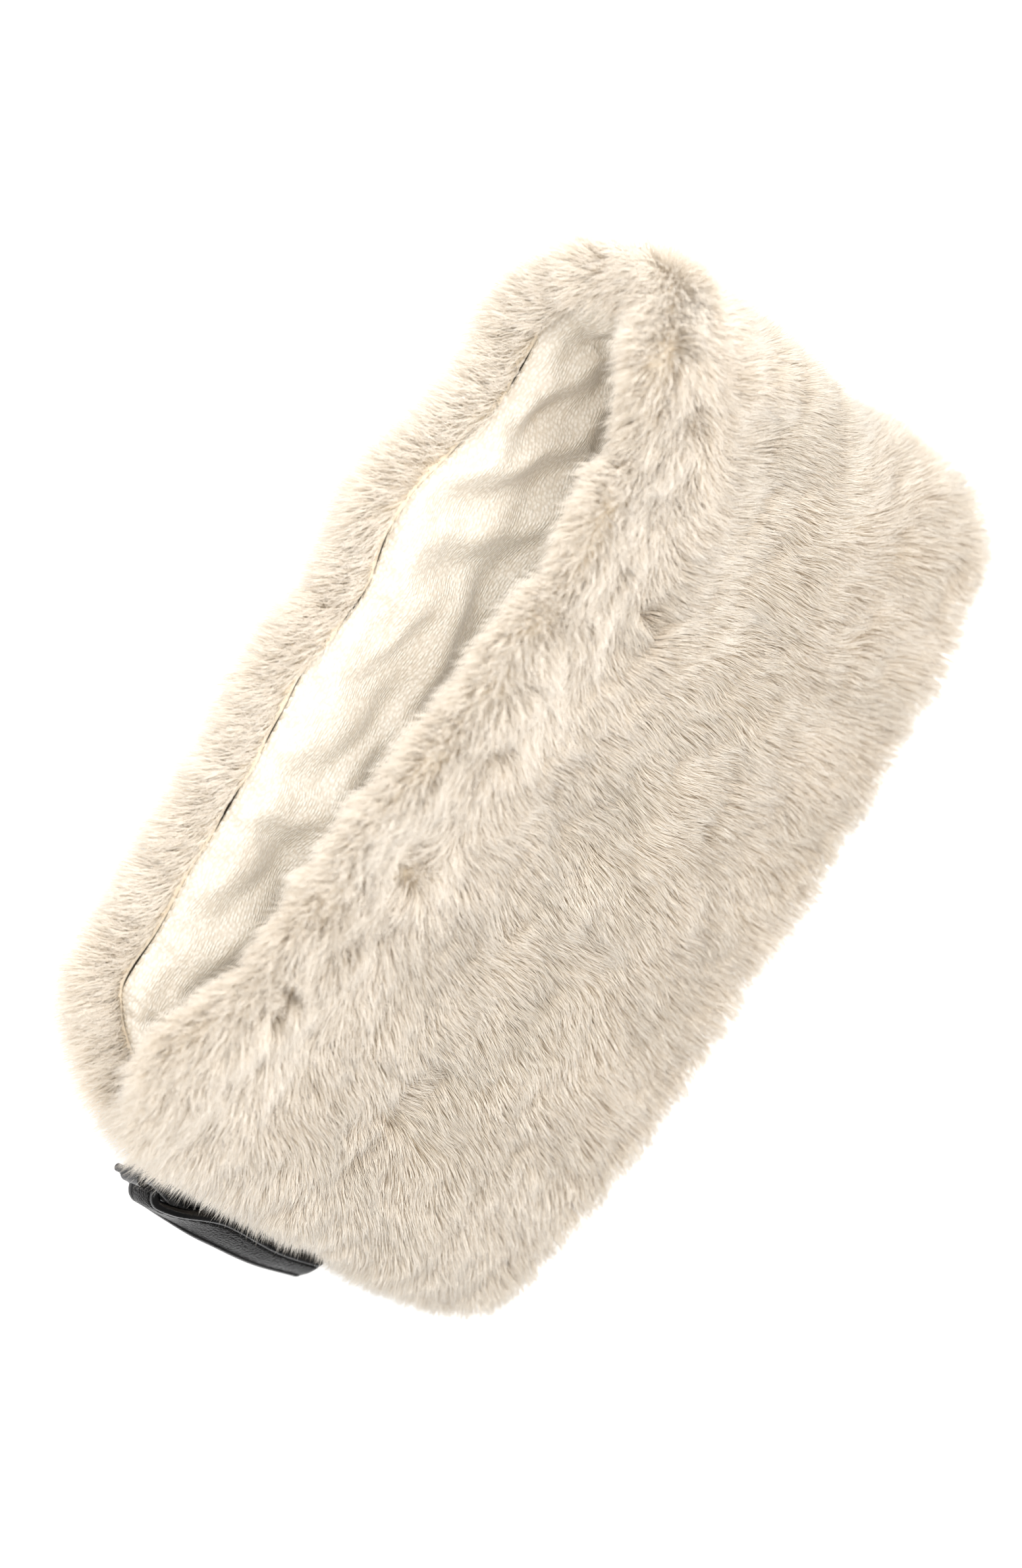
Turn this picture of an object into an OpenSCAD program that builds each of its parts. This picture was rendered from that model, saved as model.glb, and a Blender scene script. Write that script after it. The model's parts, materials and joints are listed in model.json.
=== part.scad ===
// Hand warmer muff: a lined faux-fur sleeve, open along both long edges, with a leather carry loop
// hung from a steel ring on one end. It lies flat on its underside.
// X runs along the openings, Y from the front mouth to the rear mouth, Z up. Millimetres.

/* [Muff] */
// Width of the muff along its openings, with the pile
muff_w = 340; // [300:5:400]
// Depth of the sleeve from mouth to mouth
muff_d = 225; // [180:5:260]
// Height of the plumped muff at its middle
muff_h = 90; // [86:1:110]
// Radius of the rounded ends
end_r = 40; // [38:1:42]
// Radius of the four corners seen from above
corner_r = 20; // [10:1:22]
// How far the upper wall can be pressed down
press_travel = 12; // [5:1:12]

/* [Layers] */
// Thickness of the fur: knit backing and pile
fur_t = 16; // [12:0.5:18]
// Thickness of the wadding sheets
wadding_t = 5.4; // [3:0.1:6]
// Thickness of the lining
lining_t = 1.5; // [1:0.1:2]
// Gap left between neighbouring layers
layer_gap = 0.2; // [0.1:0.05:0.4]
// How far the fur turns in at each mouth before the lining starts
hem_d = 11; // [8:1:16]

/* [Carry loop] */
// Width of the loop strap
strap_w = 16; // [14:0.5:18]
// Thickness of the padded loop strap
strap_t = 3.4; // [3:0.1:3.6]
// Distance from the ring to the far end of the loop
loop_l = 78; // [60:1:110]
// Thickness of the leather skins of the strap
skin_t = 1; // [0.8:0.1:1.2]
// Radius of the enamelled steel ring's wire
ring_wire_r = 1.4; // [1.2:0.1:1.5]
// Distance between the ring's two bars
ring_l = 9.2; // [9.2:0.1:11]
// Angle of the ring from straight out to lying along the side
ring_turn = 70; // [40:1:76]
// Angle at which the loop stands off from the side of the muff
loop_turn = 2; // [0:1:12]
// Width of the leather tab that holds the ring
tab_w = 10; // [8:0.5:11]
// Thickness of each of the tab's two leaves
leaf_t = 1.6; // [1.2:0.1:1.8]
// Length of the tab, from the ring into the side
tab_l = 16; // [12:0.5:18]
// Lean of the loop against the muff, top edge inwards
lean = 12; // [8:1:16]
// Place of the tab along the side, from the middle of the muff
tab_y = -57; // [-80:0.5:-50]
// Height of the tab where it holds the ring
tab_z = 24.5; // [20:0.5:25]
// Distance from the side of the muff out to the tab's end of the ring
tab_out = 3.8; // [3.2:0.1:6]

/* [Hidden] */
$fn = 64;

fur_colour = [0.93, 0.88, 0.79];
wadding_colour = [0.96, 0.96, 0.94];
lining_colour = [0.92, 0.90, 0.84];
thread_colour = [0.88, 0.83, 0.73];
leather_colour = [0.05, 0.05, 0.05];
enamel_colour = [0.03, 0.03, 0.03];
dark_thread_colour = [0.08, 0.08, 0.08];
felt_colour = [0.2, 0.2, 0.2];

// The section is a flat base, two end circles and a crown arc tangent to both circles.
end_x = muff_w / 2 - end_r;
crown_r = (pow(end_x, 2) + pow(muff_h - end_r, 2) - pow(end_r, 2)) / (2 * (muff_h - 2 * end_r));
crown_z = muff_h - crown_r;

// Depth below the outer surface at which each layer starts and ends
wadding_in = fur_t + layer_gap;
wadding_out = wadding_in + wadding_t;
lining_in = wadding_out + layer_gap;
lining_out = lining_in + lining_t;

// The side seams fill the height between the lower and the upper wall
seam_low = end_r - press_travel;
seam_high = seam_low + press_travel + 2;
seam_mid = (seam_low + seam_high) / 2;
lining_d = muff_d - 2 * hem_d - 2 * layer_gap;
wadding_side = end_x + 4;

stitch_r = 0.35;
stitch_l = 4;
stitch_step = 9;
thread_off = 0.03;

// Carry loop, in a local frame with its origin on the bar held by the tab:
// X outwards, Y along the side, Z along the bars.
bar_gap = 0.08;
loop_in_r = ring_wire_r + bar_gap;
loop_out_r = loop_in_r + strap_t;
loop_mid_r = loop_in_r + strap_t / 2;
loop_straight = loop_l - loop_out_r;
edge_r = strap_t / 2;
skin_half_w = strap_w / 2 - 2 * edge_r;
leg_z = strap_w / 2 + ring_wire_r + 0.3;
knuckle_r = loop_in_r + leaf_t;
slot_gap = 0.15;
bar_x = ring_l * cos(ring_turn);
bar_y = ring_l * sin(ring_turn);

// Outline of the muff's section, drawn in by `inset` all round
module section(inset) {
    r = end_r - inset;
    reach = crown_r * 1.2;
    angle = atan(end_x / (end_r - crown_z));
    for (s = [-1, 1]) translate([s * end_x, end_r]) circle(r);
    translate([-end_x, inset]) square([2 * end_x, end_r - inset]);
    intersection() {
        translate([0, crown_z]) circle(crown_r - inset, $fn = 360);
        polygon([
            [0, crown_z], [reach * sin(angle), crown_z + reach * cos(angle)],
            [-reach * sin(angle), crown_z + reach * cos(angle)]
        ]);
        translate([-muff_w, end_r]) square([2 * muff_w, muff_h]);
    }
}

// A tube wall between two insets, `d` deep along Y and centred
module tube(outer, inner, d) {
    rotate([90, 0, 0]) linear_extrude(d, center = true) difference() {
        section(outer);
        section(inner);
    }
}

// The upright prism that rounds the muff's corners seen from above
module plan() {
    w = muff_w - 2 * corner_r;
    d = muff_d - 2 * corner_r;
    linear_extrude(muff_h + 2) {
        for (sx = [-1, 1], sy = [-1, 1]) translate([sx * w / 2, sy * d / 2]) circle(corner_r);
        square([w, muff_d], center = true);
        square([muff_w, d], center = true);
    }
}

// A box that keeps the part of its children between two heights, and on one side if `side` isn't 0
module band(low, high, side = 0) {
    intersection() {
        children();
        translate([side == 0 ? -muff_w : min(0, side * muff_w), -muff_d, low])
            cube([side == 0 ? 2 * muff_w : muff_w, 2 * muff_d, high - low]);
    }
}

// Fur wall with its turned-in hems at both mouths
module fur_wall() {
    intersection() {
        difference() {
            tube(0, lining_out, muff_d);
            rotate([90, 0, 0]) linear_extrude(muff_d - 2 * hem_d, center = true) section(fur_t);
        }
        plan();
    }
}

module fur_bottom() {
    color(fur_colour) difference() {
        band(-1, seam_low) fur_wall();
        tab_slot();
    }
}

module fur_top() {
    color(fur_colour) band(seam_high, muff_h + 1) fur_wall();
}

module side_seam(side) {
    color(fur_colour) difference() {
        band(seam_low + layer_gap, seam_high - layer_gap, side) fur_wall();
        tab_slot();
    }
}

// A wadding sheet stops short of the side seams so that they stay thin
module wadding(low, high) {
    color(wadding_colour) intersection() {
        band(low, high) tube(wadding_in, wadding_out, lining_d);
        cube([2 * wadding_side, muff_d, 2 * muff_h], center = true);
    }
}

module lining(low, high, side = 0) {
    color(lining_colour) band(low, high, side) tube(lining_in, lining_out, lining_d);
}

// A stitch is a short thread laid along Y
module stitch(length = stitch_l) {
    rotate([90, 0, 0]) cylinder(h = length, r = stitch_r, center = true, $fn = 16);
}

// Hem stitches cross from fur to lining at one mouth, just inside the sleeve
module hem_stitches_bottom(mouth) {
    half = floor((end_x - 4) / stitch_step);
    z = lining_out + stitch_r + thread_off;
    color(thread_colour) for (i = [-half : half])
        translate([i * stitch_step, mouth * (muff_d / 2 - hem_d), z]) stitch();
}

module hem_stitches_top(mouth) {
    r = crown_r - lining_out - stitch_r - thread_off;
    step = stitch_step / r * 180 / PI;
    half = floor((end_x - 4) / stitch_step);
    color(thread_colour) for (i = [-half : half])
        translate([r * sin(i * step), mouth * (muff_d / 2 - hem_d), crown_z + r * cos(i * step)]) stitch();
}

// The side seam's thread runs along the inside of each seam
module side_seam_thread(side) {
    count = floor((lining_d - 10) / stitch_step);
    x = end_x + end_r - fur_t - stitch_r - thread_off - 1.2;
    color(thread_colour) for (i = [0 : count - 1])
        translate([side * x, (i - (count - 1) / 2) * stitch_step, seam_mid]) stitch(stitch_step * 0.75);
}

// Places a part of the carry loop from its local frame onto the muff's side
module on_side() {
    translate([end_x + end_r + tab_out, tab_y, tab_z]) rotate([0, -lean, 0]) children();
}

// The slot that lets the tab into the side of the muff
module tab_slot() {
    on_side() translate([-tab_l - slot_gap, -leaf_t - slot_gap, -tab_w / 2 - slot_gap])
        cube([tab_l, 2 * (leaf_t + slot_gap), tab_w + 2 * slot_gap]);
}

// Leather tab folded round the ring's inner bar, its two leaves together going into the side
module anchor_tab() {
    color(leather_colour) on_side() linear_extrude(tab_w, center = true) difference() {
        union() {
            circle(knuckle_r);
            translate([-tab_l, -leaf_t]) square([tab_l, 2 * leaf_t]);
        }
        circle(loop_in_r);
    }
}

// A row of stitches across both leaves, on each face of the tab, close to the ring
module anchor_stitches() {
    r = 0.12;
    pitch = 2.4;
    off = leaf_t + r / 2 + 0.06;
    color(dark_thread_colour) on_side() for (s = [-1, 1], i = [-1 : 1])
        translate([-knuckle_r - 0.5, s * (off + r / 2), i * pitch])
            cylinder(h = 1.7, r = r, center = true, $fn = 16);
}

// Rectangular steel ring: one bar in the tab's fold and one in the loop's bend
module ring() {
    color(enamel_colour) on_side() for (bar = [[0, 0, 0], [bar_x, bar_y, 0]]) {
        translate(bar) cylinder(h = 2 * leg_z + 2 * ring_wire_r, r = ring_wire_r, center = true, $fn = 32);
        for (s = [-1, 1]) translate([0, 0, s * leg_z]) rotate([0, 90, ring_turn])
            cylinder(h = ring_l, r = ring_wire_r * 0.9, $fn = 32);
    }
}

// Racetrack outline round the ring's outer bar and the loop's far end
module racetrack(r) {
    circle(r);
    translate([0, loop_straight]) circle(r);
    translate([-r, 0]) square([2 * r, loop_straight]);
}

module on_ring() {
    on_side() translate([bar_x, bar_y, 0]) rotate([0, 0, -loop_turn]) children();
}

module loop_layer(inner_r, outer_r, width) {
    on_ring() linear_extrude(width, center = true) difference() {
        racetrack(outer_r);
        racetrack(inner_r);
    }
}

module loop_face() {
    color(leather_colour) loop_layer(loop_out_r - skin_t, loop_out_r, 2 * skin_half_w);
}

module loop_core() {
    color(felt_colour)
        loop_layer(loop_in_r + skin_t + 0.05, loop_out_r - skin_t - 0.05, 2 * skin_half_w - 0.4);
}

module loop_backing() {
    color(leather_colour) loop_layer(loop_in_r, loop_in_r + skin_t, 2 * skin_half_w);
}

// Rolled leather edge, a closed round cord along one edge of the strap
module loop_edge(side) {
    color(leather_colour) on_ring() translate([0, 0, side * (strap_w / 2 - edge_r + 0.05)]) {
        for (end = [0, 1]) translate([0, end * loop_straight, 0]) rotate([0, 0, end == 0 ? 180 : 0])
            rotate_extrude(angle = 180) translate([loop_mid_r, 0]) circle(edge_r, $fn = 32);
        for (s = [-1, 1]) translate([s * loop_mid_r, 0, 0]) rotate([-90, 0, 0])
            cylinder(h = loop_straight, r = edge_r, $fn = 32);
    }
}

// Stitches beside the rolled edge, on the outer face of both runs
module loop_stitches(side) {
    r = 0.25;
    pitch = 4;
    count = floor((loop_straight - 4) / pitch);
    color(dark_thread_colour) on_ring() for (s = [-1, 1], i = [0 : count - 1])
        translate([s * (loop_out_r + r + thread_off), 4 + i * pitch, side * (skin_half_w - 1.2)])
            rotate([90, 0, 0]) cylinder(h = 2.6, r = r, center = true, $fn = 16);
}

fur_bottom();
wadding(-1, seam_low);  // wadding_bottom
lining(-1, seam_low);  // lining_bottom
fur_top();
wadding(seam_high, muff_h);  // wadding_top
lining(seam_high, muff_h);  // lining_top
side_seam(-1);  // side_seam_left
side_seam(1);  // side_seam_right
lining(seam_low + layer_gap, seam_high - layer_gap, -1);  // lining_seam_left
lining(seam_low + layer_gap, seam_high - layer_gap, 1);  // lining_seam_right
side_seam_thread(-1);  // side_seam_thread_left
side_seam_thread(1);  // side_seam_thread_right
hem_stitches_bottom(-1);  // front_hem_stitches_bottom
hem_stitches_bottom(1);  // rear_hem_stitches_bottom
hem_stitches_top(-1);  // front_hem_stitches_top
hem_stitches_top(1);  // rear_hem_stitches_top
anchor_tab();
anchor_stitches();
ring();
loop_face();
loop_core();
loop_backing();
loop_edge(1);  // loop_edge_upper
loop_edge(-1);  // loop_edge_lower
loop_stitches(1);  // loop_stitches_upper
loop_stitches(-1);  // loop_stitches_lower
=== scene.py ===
"""Looks of the hand warmer muff: faux fur grown as real strands, a knit lining and a leather carry loop."""

import json
import math

import bpy
import numpy as np
from mathutils import Matrix, Vector


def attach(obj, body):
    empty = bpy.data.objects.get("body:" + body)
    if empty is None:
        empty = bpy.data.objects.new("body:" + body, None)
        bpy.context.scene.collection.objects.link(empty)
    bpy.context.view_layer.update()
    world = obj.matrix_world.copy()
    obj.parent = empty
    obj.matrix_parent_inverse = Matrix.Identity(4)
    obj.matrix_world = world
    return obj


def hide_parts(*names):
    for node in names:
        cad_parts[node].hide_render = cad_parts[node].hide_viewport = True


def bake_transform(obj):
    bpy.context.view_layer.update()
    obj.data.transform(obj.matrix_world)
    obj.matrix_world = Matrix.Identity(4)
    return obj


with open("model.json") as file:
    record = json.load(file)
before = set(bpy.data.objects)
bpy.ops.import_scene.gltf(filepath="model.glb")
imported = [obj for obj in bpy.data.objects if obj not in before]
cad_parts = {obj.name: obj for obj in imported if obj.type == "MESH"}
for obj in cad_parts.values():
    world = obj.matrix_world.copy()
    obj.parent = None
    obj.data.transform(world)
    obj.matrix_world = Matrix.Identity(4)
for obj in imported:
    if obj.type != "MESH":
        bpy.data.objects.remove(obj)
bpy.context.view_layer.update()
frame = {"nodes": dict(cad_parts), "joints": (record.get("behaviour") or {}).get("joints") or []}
SEED = 7

# ---------------------------------------------------------------- sizes, in metres, in the row frame
# The CAD sleeve
HALF_W = 0.170
HALF_D = 0.1125
HEIGHT = 0.090
END_R = 0.040
SEAM_LOW, SEAM_HIGH = 0.028, 0.042

# Depths of the fur's backing and of the lining below the surface, and the roll that joins them at each mouth
BACKING_IN = 0.0085
INNER_IN = 0.0205
ROLL_R = (INNER_IN - BACKING_IN) / 2
LIP_PILE = 0.006
LIP_Y = HALF_D - LIP_PILE - ROLL_R
PATH = LIP_Y + math.pi * ROLL_R

# The slouch seen from above: corner radii, left and right, and how far the lips stand back or forward
FRONT_CORNER, REAR_CORNER = (0.024, 0.036), (0.028, 0.024)
TOP_LIP_BACK, TOP_LEFT_BACK, TOP_RIGHT_FORWARD = 0.022, 0.015, 0.010
LOW_LIP_BACK, LOW_LEFT_BACK = 0.0055, 0.0130
REAR_LEFT_OUT, REAR_MIDDLE_IN, REAR_RIGHT_IN = 0.0032, 0.0065, 0.009
LIP_WAVE, LIP_WAVE_RUN = 0.0023, 0.055

# The slouch in section: the ends flare at the rear, the front right end is drawn in, the right side sinks
FLARE_RIGHT, FLARE_LEFT = 0.050, 0.030
UNDER_PINCH, FRONT_RIGHT_PINCH = 0.035, 0.055
SINK_RIGHT, REAR_HEIGHT = 0.80, 0.76
SWELL, SWELL_RUN = 0.0016, 0.07
LUMP, LUMP_RUN = 0.0010, 0.024

# The lining: how far its edge puffs up, and how the lower sheet is buckled into folds
PUFF, PUFF_RUN = 0.0045, 0.012
EXTRA_CLOTH, FOLD_STIFFNESS, FOLD_FRAMES, FOLD_LIMIT = 0.030, 0.20, 24, 0.0045
LINING_STEP = 0.0026
WADDING_IN, WADDING_GAP = 0.0150, 0.012

# Threads: their radius, and the pitch and length of the hem's and the side seams' stitches
THREAD_R, HEM_PITCH, HEM_STITCH = 0.0003, 0.0045, 0.0028
SEAM_PITCH, SEAM_STITCH, SEAM_THREAD_IN = 0.006, 0.0042, 0.0168

END_X = HALF_W - END_R
CROWN_R = (END_X**2 + (HEIGHT - END_R) ** 2 - END_R**2) / (2 * (HEIGHT - 2 * END_R))
CROWN_Z = HEIGHT - CROWN_R
CROWN_ANGLE = math.atan2(END_X, END_R - CROWN_Z)
END_LEN = END_R * (math.pi - CROWN_ANGLE)
HALF_LEN = END_X + END_LEN + CROWN_R * CROWN_ANGLE
SEAM_LOW_Q = END_X + END_R * (math.pi / 2 + math.asin((SEAM_LOW - END_R) / END_R))
SEAM_HIGH_Q = END_X + END_R * (math.pi / 2 + math.asin((SEAM_HIGH - END_R) / END_R))

# The pile: strands for each square metre at full density, the share of it grown on the upper wall and where
# the muff lies, tufts as (size, pull), and partings as (x, y, size)
STRANDS_PER_PIECE = 12000
DENSITY = 2.7e6
SEAM_GAP = 0.0009
PILE = 0.0128
STRAND_R = 0.000095
TUFTS = ((0.0070, 0.14), (0.0024, 0.34), (0.0012, 0.45))
TUFT_TABLE = (97, 89)
TOP_SHARE, UNDER_SHARE, QUICK_THICKER = 0.45, 0.12, 1.35
PARTINGS = ((0.046, -0.060, 0.014), (-0.067, -0.040, 0.012), (0.098, -0.078, 0.010), (0.115, -0.012, 0.013))
# The fur's faint emission is painted light: it lifts the shade between the strands, standing in for light
# scattered through the pale hairs.
PAINTED_GLOW = 0.035


# ---------------------------------------------------------------- small maths
def smooth(x):
    """0 below 0, 1 above 1, and an S curve between."""
    x = np.clip(x, 0, 1)
    return x * x * (3 - 2 * x)


def unit(v):
    return v / np.maximum(np.linalg.norm(v, axis=-1, keepdims=True), 1e-9)


def waves(a, b, wavelength, seed, stretch=1.0, count=9):
    """Smooth noise of two coordinates, about -1 to 1, as a sum of seeded plane waves."""
    rng = np.random.default_rng(seed)
    total = np.zeros(np.broadcast(a, b).shape)
    for _ in range(count):
        angle = rng.uniform(0, 2 * math.pi)
        k = 2 * math.pi / (wavelength * rng.uniform(0.7, 1.5))
        along = a * math.cos(angle) / stretch + b * math.sin(angle)
        total = total + np.sin(k * along + rng.uniform(0, 6.28))
    return total / math.sqrt(count)


# ---------------------------------------------------------------- the sleeve's shape
def outline(q):
    """Point and outward normal of the section at distance q round it, from under the middle towards +X."""
    q = np.mod(q, 2 * HALF_LEN)
    side = np.where(q < HALF_LEN, 1.0, -1.0)
    a = np.where(q < HALF_LEN, q, 2 * HALF_LEN - q)
    end = -math.pi / 2 + np.clip((a - END_X) / END_R, 0, math.pi - CROWN_ANGLE)
    crown = CROWN_ANGLE - np.clip((a - END_X - END_LEN) / CROWN_R, 0, CROWN_ANGLE)
    flat, top = a < END_X, a > END_X + END_LEN
    x = np.where(flat, a, np.where(top, CROWN_R * np.sin(crown), END_X + END_R * np.cos(end)))
    z = np.where(flat, 0, np.where(top, CROWN_Z + CROWN_R * np.cos(crown), END_R + END_R * np.sin(end)))
    nx = np.where(flat, 0, np.where(top, np.sin(crown), np.cos(end)))
    nz = np.where(flat, -1, np.where(top, np.cos(crown), np.sin(end)))
    return side * x, z, side * nx, nz


def in_plan(x, y, level):
    """Depth y bent to the slouched plan: rounded corners, the upper lip set back, the lips a little wavy."""
    upper, lower = smooth((level - 0.03) / 0.05), 1 - smooth(level / 0.035)
    corner = np.where(y < 0, np.where(x < 0, *FRONT_CORNER), np.where(x < 0, *REAR_CORNER))
    over = np.clip(np.abs(x) - (HALF_W - corner), 0, corner)
    y = y * (1 - (corner - np.sqrt(np.maximum(corner**2 - over**2, 0))) / HALF_D)
    front, front_top, rear = smooth((-y - 0.03) / 0.08), smooth((0.01 - y) / 0.115), smooth((y - 0.03) / 0.08)
    lip = smooth((np.abs(y) - 0.07) / 0.04)
    left = smooth((-x - 0.055) / 0.07)
    top_back = TOP_LIP_BACK - TOP_RIGHT_FORWARD * smooth((x - 0.085) / 0.05)
    top_back = top_back + TOP_LEFT_BACK * smooth((0.05 - x) / 0.14) * (1 - 0.9 * smooth((-x - 0.105) / 0.055))
    y = y + front_top * upper * top_back
    y = y + front * lower * (LOW_LIP_BACK + LOW_LEFT_BACK * left)
    y = y + rear * (REAR_LEFT_OUT * smooth((-x - 0.04) / 0.06) - REAR_MIDDLE_IN * smooth((x + 0.035) / 0.045))
    y = y - rear * REAR_RIGHT_IN * smooth((x - 0.07) / 0.05)
    return y + lip * LIP_WAVE * waves(x, upper * 0.03, LIP_WAVE_RUN, 3)


def sleeve(q, inset, y):
    """Point of the soft muff at distance q round the section, inset below its surface, at depth y."""
    x0, z0, nx, nz = outline(q)
    y = in_plan(x0, y, z0)
    swell = SWELL * waves(x0, y, SWELL_RUN, 5) * smooth((z0 - 0.005) / 0.03)
    x = x0 + (swell - inset) * nx
    z = z0 + (swell - inset) * nz
    rearward = smooth((y + HALF_D) / (2 * HALF_D))
    flare = np.where(x > 0, FLARE_RIGHT * smooth((y + 0.03) / 0.11), FLARE_LEFT * smooth((y - 0.01) / 0.09))
    x = x * (1 + flare)
    z = z * ((1 - rearward) * (1.0 - SINK_RIGHT * x0) + rearward * REAR_HEIGHT)
    pinch = (1 - smooth(z0 / 0.05)) * smooth((-y - 0.05) / 0.06)
    x = x * (1 - UNDER_PINCH * pinch - np.where(x > 0, FRONT_RIGHT_PINCH * smooth((-y - 0.035) / 0.05), 0))
    return np.stack(np.broadcast_arrays(x, y, z), -1)


def lip_path(t):
    """Depth, inset and roll angle at distance t along the fur, -PATH at one seam and PATH at the other."""
    a = np.abs(t)
    roll = np.clip((a - LIP_Y) / ROLL_R, 0, math.pi)
    y = np.where(a < LIP_Y, a, LIP_Y + ROLL_R * np.sin(roll))
    return np.sign(t) * y, BACKING_IN + ROLL_R * (1 - np.cos(roll)), roll


def skin(q, t):
    """Point of the fur's knit backing, with its small lumps."""
    y, inset, _ = lip_path(t)
    return sleeve(q, inset - LUMP * waves(outline(q)[0], y, LUMP_RUN, 6), y)


def skin_frame(q, t):
    """Points and outward normals of the fur's knit backing."""
    d = 2e-4
    along = skin(q + d, t) - skin(q - d, t)
    across = skin(q, t + d) - skin(q, t - d)
    return skin(q, t), unit(np.cross(across, along))


# ---------------------------------------------------------------- meshes
def mesh_object(name, verts, faces, material, uv=None):
    """A smooth-shaded object from arrays: faces is all triangles or all quads, uv one pair per corner."""
    mesh = bpy.data.meshes.new(name)
    mesh.vertices.add(len(verts))
    mesh.vertices.foreach_set("co", np.asarray(verts, np.float32).ravel())
    mesh.loops.add(faces.size)
    mesh.loops.foreach_set("vertex_index", faces.astype(np.int32).ravel())
    mesh.polygons.add(len(faces))
    mesh.polygons.foreach_set("loop_start", np.arange(0, faces.size, faces.shape[1], dtype=np.int32))
    mesh.polygons.foreach_set("use_smooth", np.ones(len(faces), bool))
    if uv is not None:
        layer = mesh.uv_layers.new(name="OFBake")
        layer.data.foreach_set("uv", np.asarray(uv, np.float32).ravel())
    mesh.update(calc_edges=True)
    mesh.materials.append(material)
    obj = bpy.data.objects.new(name, mesh)
    bpy.context.scene.collection.objects.link(obj)
    return obj


def grid_faces(rows, columns, wrap=False):
    i, j = np.meshgrid(np.arange(rows - 1), np.arange(columns if wrap else columns - 1), indexing="ij")
    a, b = i * columns + j, i * columns + (j + 1) % columns
    return np.stack([a, b, b + columns, a + columns], -1).reshape(-1, 4)


def soft(obj, node):
    """Finishes a piece of the muff's cloth: bakes its placement into its mesh and hides the CAD node that it
    stands for.
    """
    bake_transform(obj)
    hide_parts(node)
    return obj


# ---------------------------------------------------------------- materials
def node_material(name, roughness=0.6, sheen=0.0):
    material = bpy.data.materials.new(name)
    material.use_nodes = True
    tree = material.node_tree
    shader = tree.nodes["Principled BSDF"]
    shader.inputs["Roughness"].default_value = roughness
    shader.inputs["Sheen Weight"].default_value = sheen
    return material, tree, shader


def add_node(tree, kind, values=None, **settings):
    node = tree.nodes.new(kind)
    for key, value in settings.items():
        setattr(node, key, value)
    for key, value in (values or {}).items():
        node.inputs[key].default_value = value
    return node


def ramp(tree, source, stops):
    node = tree.nodes.new("ShaderNodeValToRGB")
    while len(node.color_ramp.elements) < len(stops):
        node.color_ramp.elements.new(0.5)
    for element, (place, colour) in zip(node.color_ramp.elements, stops):
        element.position = place
        element.color = (*colour, 1)
    tree.links.new(source, node.inputs["Fac"])
    return node.outputs["Color"]


def mix_colour(tree, factor, a, b, mode="MIX"):
    node = add_node(tree, "ShaderNodeMix", data_type="RGBA", blend_type=mode)
    for socket, value in ((0, factor), (6, a), (7, b)):
        if isinstance(value, bpy.types.NodeSocket):
            tree.links.new(value, node.inputs[socket])
        elif socket == 0:
            node.inputs[0].default_value = value
        else:
            node.inputs[socket].default_value = (*value, 1)
    return node.outputs[2]


def bump(tree, shader, heights):
    """Chains bumps of (height socket, strength, distance) into the shader's normal."""
    normal = None
    for height, strength, distance in heights:
        node = add_node(tree, "ShaderNodeBump", {"Strength": strength, "Distance": distance})
        tree.links.new(height, node.inputs["Height"])
        if normal is not None:
            tree.links.new(normal, node.inputs["Normal"])
        normal = node.outputs["Normal"]
    tree.links.new(normal, shader.inputs["Normal"])


def fur_material():
    """Strand colour from the strand's own map: U is its tint, V runs from root to tip, with the roots painted
    darker as shade among the strands; a faint emission is painted light.
    """
    material, tree, shader = node_material("fur", roughness=0.7, sheen=0.2)
    shader.inputs["Specular IOR Level"].default_value = 0.3
    # Faint emission: painted light that lifts the shade between the strands.
    shader.inputs["Emission Color"].default_value = (1.0, 0.89, 0.75, 1)
    shader.inputs["Emission Strength"].default_value = PAINTED_GLOW
    uv = add_node(tree, "ShaderNodeUVMap", uv_map="OFBake")
    split = add_node(tree, "ShaderNodeSeparateXYZ")
    tree.links.new(uv.outputs["UV"], split.inputs[0])
    # The low end of U is the colour of the few dark strands: painted shade standing in for the shadows
    # between clumps.
    tip = ramp(tree, split.outputs["X"], [
        (0.0, (0.52, 0.44, 0.34)),
        (0.1, (0.80, 0.73, 0.62)),
        (0.45, (0.90, 0.83, 0.73)),
        (0.75, (0.97, 0.89, 0.78)),
        (1.0, (1.00, 0.93, 0.83)),
    ])
    # Roots darker than tips: painted shade down among the strands, which also draws the warm shadow line
    # along the lining's seam.
    root = ramp(tree, split.outputs["X"], [
        (0.0, (0.46, 0.36, 0.25)),
        (0.45, (0.72, 0.61, 0.47)),
        (0.75, (0.87, 0.77, 0.62)),
        (1.0, (0.95, 0.88, 0.77)),
    ])
    rise = ramp(tree, split.outputs["Y"], [(0.0, (0, 0, 0)), (0.35, (0.45, 0.45, 0.45)), (0.8, (1, 1, 1))])
    tree.links.new(mix_colour(tree, rise, root, tip), shader.inputs["Base Color"])
    return material


def backing_material():
    material, tree, shader = node_material("fur_backing", roughness=0.9)
    coords = add_node(tree, "ShaderNodeTexCoord")
    noise = add_node(tree, "ShaderNodeTexNoise", {"Scale": 900.0, "Detail": 3.0})
    tree.links.new(coords.outputs["Object"], noise.inputs["Vector"])
    # Its tan is painted shade: through the gaps between the strands and along the seams it reads as the
    # shadow down among the roots.
    colour = ramp(tree, noise.outputs["Fac"], [(0.3, (0.74, 0.62, 0.46)), (0.7, (0.86, 0.76, 0.61))])
    tree.links.new(colour, shader.inputs["Base Color"])
    bump(tree, shader, [(noise.outputs["Fac"], 0.5, 0.0006)])
    return material


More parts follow.
